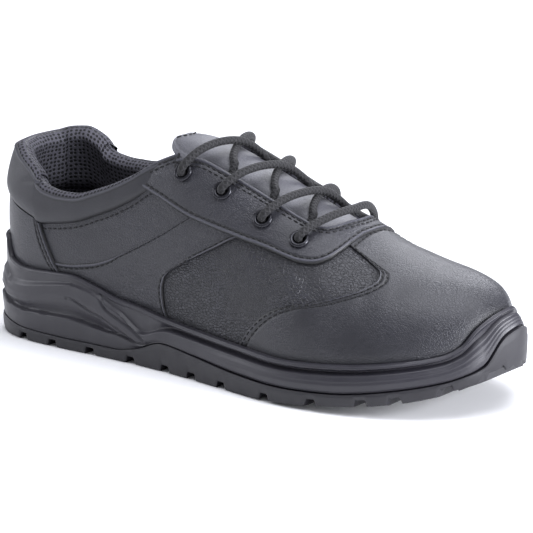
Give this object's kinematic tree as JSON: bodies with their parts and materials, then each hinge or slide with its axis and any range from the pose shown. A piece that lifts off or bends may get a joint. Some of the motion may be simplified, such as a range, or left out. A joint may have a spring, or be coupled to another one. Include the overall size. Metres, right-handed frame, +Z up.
{
  "type": "safety sneaker",
  "caption": "Low lace-up leather work shoe with a padded collar, a cup midsole, a lugged rubber outsole with a toe bumper, and laces run crosswise through metal eyelets.",
  "frame": {"origin": "on the floor, under the middle of the shoe's length and width", "axes": "+X towards the toe, +Z up, -Y towards the outer side, the side of the little toe"},
  "size_m": [0.2964, 0.1065, 0.1111],
  "materials": {
    "upper_leather": "semi-gloss grain",
    "tongue_leather": "soft satin",
    "midsole_rubber": "satin moulded",
    "outsole_rubber": "matt moulded",
    "insole_fabric": "matt",
    "eyelet_metal": "black enamel",
    "lace_cord": "round braid"
  },
  "bodies": {
    "root": {"outsole": "outsole_rubber", "midsole": "midsole_rubber", "insole": "insole_fabric", "upper": "upper_leather", "tongue": "tongue_leather", "eyelet_near_1": "eyelet_metal", "eyelet_near_2": "eyelet_metal", "eyelet_near_3": "eyelet_metal", "eyelet_near_4": "eyelet_metal", "eyelet_far_1": "eyelet_metal", "eyelet_far_2": "eyelet_metal", "eyelet_far_3": "eyelet_metal", "eyelet_far_4": "eyelet_metal", "lace_cross_1": "lace_cord", "lace_cross_2": "lace_cord", "lace_cross_3": "lace_cord", "lace_bar": "lace_cord"}
  },
  "joints": []
}
